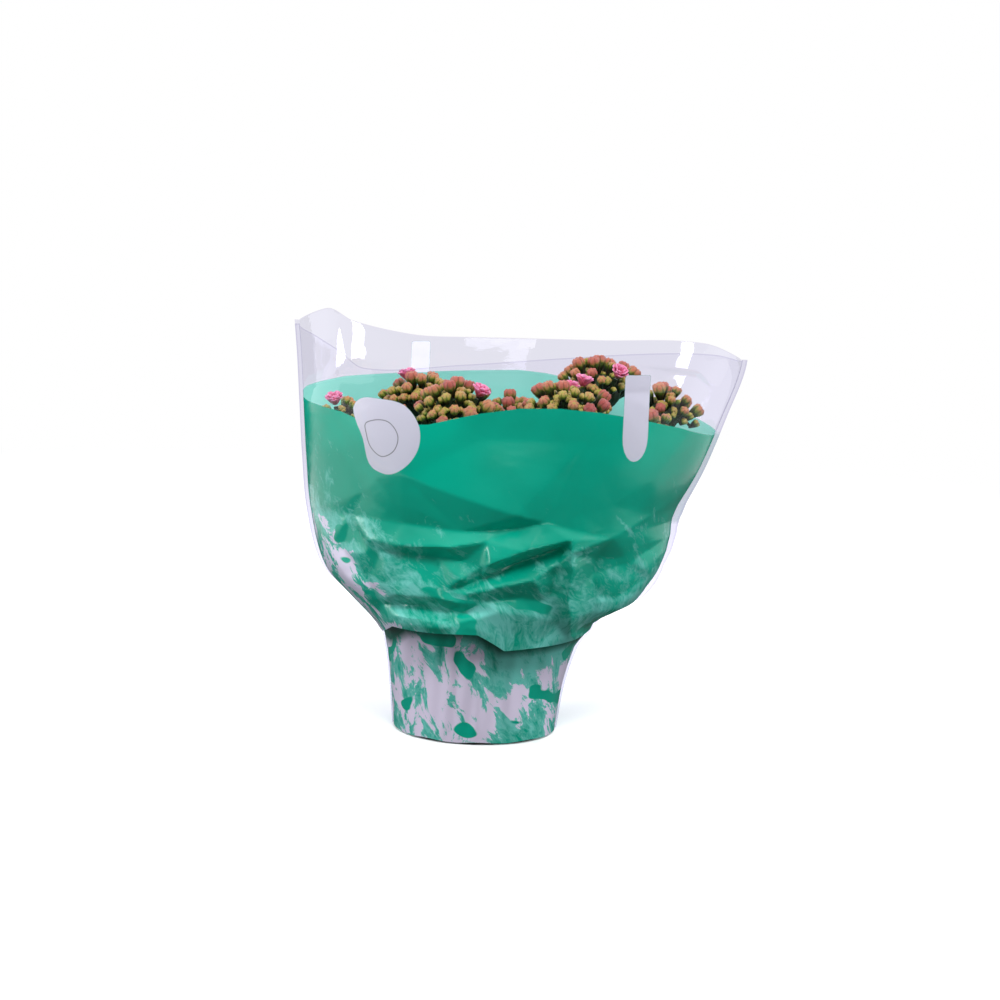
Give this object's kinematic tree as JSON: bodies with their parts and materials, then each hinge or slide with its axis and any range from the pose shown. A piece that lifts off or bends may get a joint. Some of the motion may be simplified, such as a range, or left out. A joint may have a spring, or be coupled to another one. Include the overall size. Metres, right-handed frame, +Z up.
{
  "type": "potted kalanchoe",
  "caption": "Kalanchoe in bud in a round nursery pot, stood in an open-ended printed film sleeve that flares out round the flower heads.",
  "frame": {"origin": "centre of the pot's flat base, on the surface that it stands on", "axes": "+Z up, -Y towards the sleeve's printed front, +X towards the side where the sleeve flares out furthest"},
  "size_m": [0.2485, 0.1648, 0.2274],
  "materials": {
    "pot_plastic": "dark, fine satin",
    "peat_soil": "moist and crumbly",
    "leaf_green": "waxy leaf",
    "bud": "waxy buds, yellow-green with salmon tips",
    "petal": "soft petal",
    "printed_film": "thin glossy film, printed below and clear above"
  },
  "bodies": {
    "root": {"pot": "pot_plastic", "soil": "peat_soil", "sleeve_front": "printed_film", "sleeve_back": "printed_film", "leafy_stem_1": "leaf_green", "flower_head_1": "bud", "leafy_stem_2": "leaf_green", "flower_head_2": "bud", "leafy_stem_3": "leaf_green", "flower_head_3": "bud", "leafy_stem_4": "leaf_green", "flower_head_4": "bud", "leafy_stem_5": "leaf_green", "flower_head_5": "bud", "leafy_stem_6": "leaf_green", "flower_head_6": "bud", "leafy_stem_7": "leaf_green", "flower_head_7": "bud", "leafy_stem_8": "leaf_green", "flower_head_8": "bud", "leafy_stem_9": "leaf_green", "flower_head_9": "bud", "open_flower_1": "petal", "open_flower_2": "petal", "open_flower_3": "petal", "open_flower_4": "petal", "open_flower_5": "petal", "open_flower_6": "petal", "open_flower_7": "petal"}
  },
  "joints": []
}
